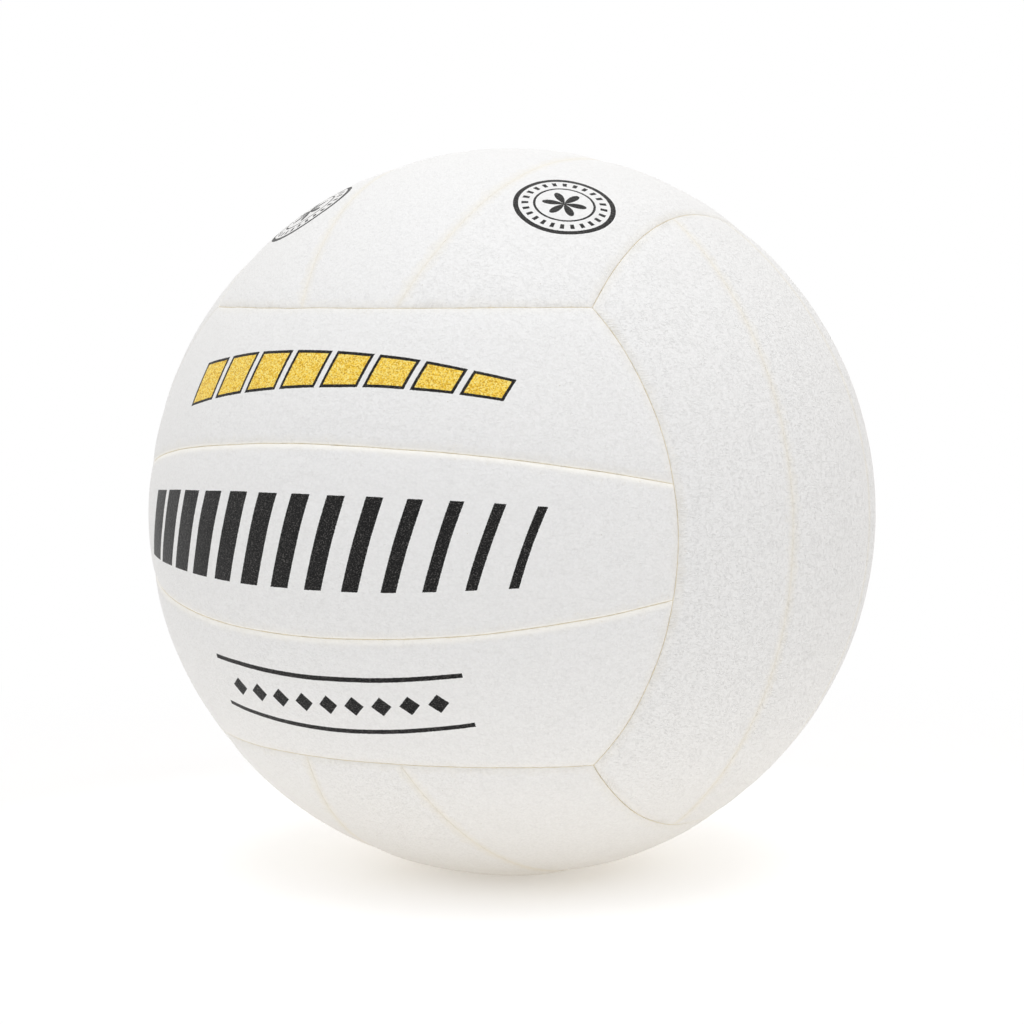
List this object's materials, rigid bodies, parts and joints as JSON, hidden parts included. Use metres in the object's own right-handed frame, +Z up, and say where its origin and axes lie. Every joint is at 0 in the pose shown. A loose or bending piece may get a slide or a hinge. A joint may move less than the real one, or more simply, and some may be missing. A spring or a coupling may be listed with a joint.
{
  "type": "volleyball",
  "caption": "Laminated indoor volleyball: long curved leather panels in strips of three per face over a wound bladder, with a needle valve at the back.",
  "frame": {"origin": "centre of the ball", "axes": "+Y out along the valve at the back, +Z up out of the top face's middle panel, +X out of the right face's middle panel; the front face looks along -Y"},
  "size_m": [0.21, 0.2099, 0.21],
  "materials": {
    "cover_leather": "satin",
    "backing_foam": "matte",
    "casing_rubber": "matte",
    "nylon_winding": "matte",
    "butyl_rubber": "matte",
    "valve_boss_rubber": "matte",
    "valve_core_rubber": "matte"
  },
  "bodies": {
    "ball": {"front_lower_panel": "cover_leather", "front_middle_panel": "cover_leather", "front_upper_panel": "cover_leather", "back_upper_panel": "cover_leather", "back_middle_panel": "cover_leather", "back_lower_panel": "cover_leather", "right_front_panel": "cover_leather", "right_middle_panel": "cover_leather", "right_rear_panel": "cover_leather", "left_front_panel": "cover_leather", "left_middle_panel": "cover_leather", "left_rear_panel": "cover_leather", "top_right_panel": "cover_leather", "top_middle_panel": "cover_leather", "top_left_panel": "cover_leather", "bottom_left_panel": "cover_leather", "bottom_middle_panel": "cover_leather", "bottom_right_panel": "cover_leather", "front_lower_pad": "backing_foam", "front_middle_pad": "backing_foam", "front_upper_pad": "backing_foam", "back_upper_pad": "backing_foam", "back_middle_pad": "backing_foam", "back_lower_pad": "backing_foam", "right_front_pad": "backing_foam", "right_middle_pad": "backing_foam", "right_rear_pad": "backing_foam", "left_front_pad": "backing_foam", "left_middle_pad": "backing_foam", "left_rear_pad": "backing_foam", "top_right_pad": "backing_foam", "top_middle_pad": "backing_foam", "top_left_pad": "backing_foam", "bottom_left_pad": "backing_foam", "bottom_middle_pad": "backing_foam", "bottom_right_pad": "backing_foam", "casing": "casing_rubber", "winding": "nylon_winding", "bladder": "butyl_rubber", "valve_boss": "valve_boss_rubber"},
    "core": {"valve_core": "valve_core_rubber"}
  },
  "joints": [
    {"name": "core_pull", "type": "slide", "parent": "ball", "child": "core", "axis": [0, 1, 0], "range_m": [0, 0.024]}
  ]
}
